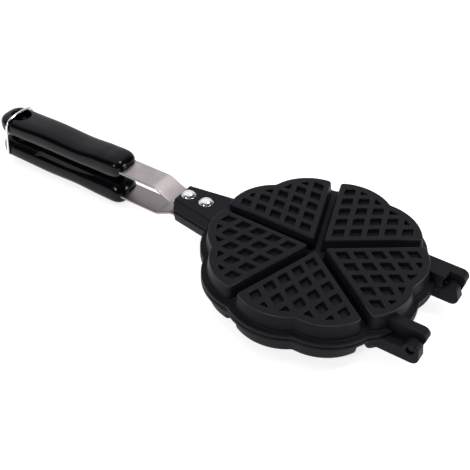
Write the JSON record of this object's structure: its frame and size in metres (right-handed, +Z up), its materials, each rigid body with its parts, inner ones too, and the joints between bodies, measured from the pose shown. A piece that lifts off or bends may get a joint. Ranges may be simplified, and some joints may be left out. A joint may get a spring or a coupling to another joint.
{
  "type": "stove-top heart waffle pan",
  "caption": "Hand-held stove-top waffle pan with two hinged heart-patterned cast plates, long moulded handles and a wire bail that locks them shut.",
  "frame": {"origin": "under the middle of the closed pan and its handles, on the surface they lie on", "axes": "+X from the handles towards the hinge, +Z up, +Y to the left when looking towards the hinge"},
  "size_m": [0.3743, 0.1596, 0.0413],
  "materials": {
    "nonstick": "satin black non-stick coating on cast aluminium",
    "strap_steel": "satin",
    "bright_steel": "polished",
    "handle_moulding": "glossy black thermoset"
  },
  "bodies": {
    "lower_half": {"lower_plate": "nonstick", "lower_strap": "strap_steel", "lower_handle": "handle_moulding", "lower_front_rivet": "bright_steel", "lower_rear_rivet": "bright_steel", "lower_front_screw": "strap_steel", "lower_rear_screw": "strap_steel", "hinge_pin_near": "bright_steel", "hinge_pin_far": "bright_steel"},
    "upper_half": {"upper_plate": "nonstick", "upper_strap": "strap_steel", "upper_handle": "handle_moulding", "upper_front_rivet": "bright_steel", "upper_rear_rivet": "bright_steel", "upper_front_screw": "strap_steel", "upper_rear_screw": "strap_steel"},
    "latch_bail": {"latch_bail": "bright_steel"}
  },
  "joints": [
    {"name": "pan_hinge", "type": "hinge", "parent": "lower_half", "child": "upper_half", "pos_m": [0.1824, 0, 0.02067], "axis": [0, 1, 0], "range_deg": [0, 180]},
    {"name": "bail_swing", "type": "hinge", "parent": "lower_half", "child": "latch_bail", "pos_m": [-0.1754, 0, 0.00705], "axis": [0, -1, 0], "range_deg": [0, 95]}
  ]
}
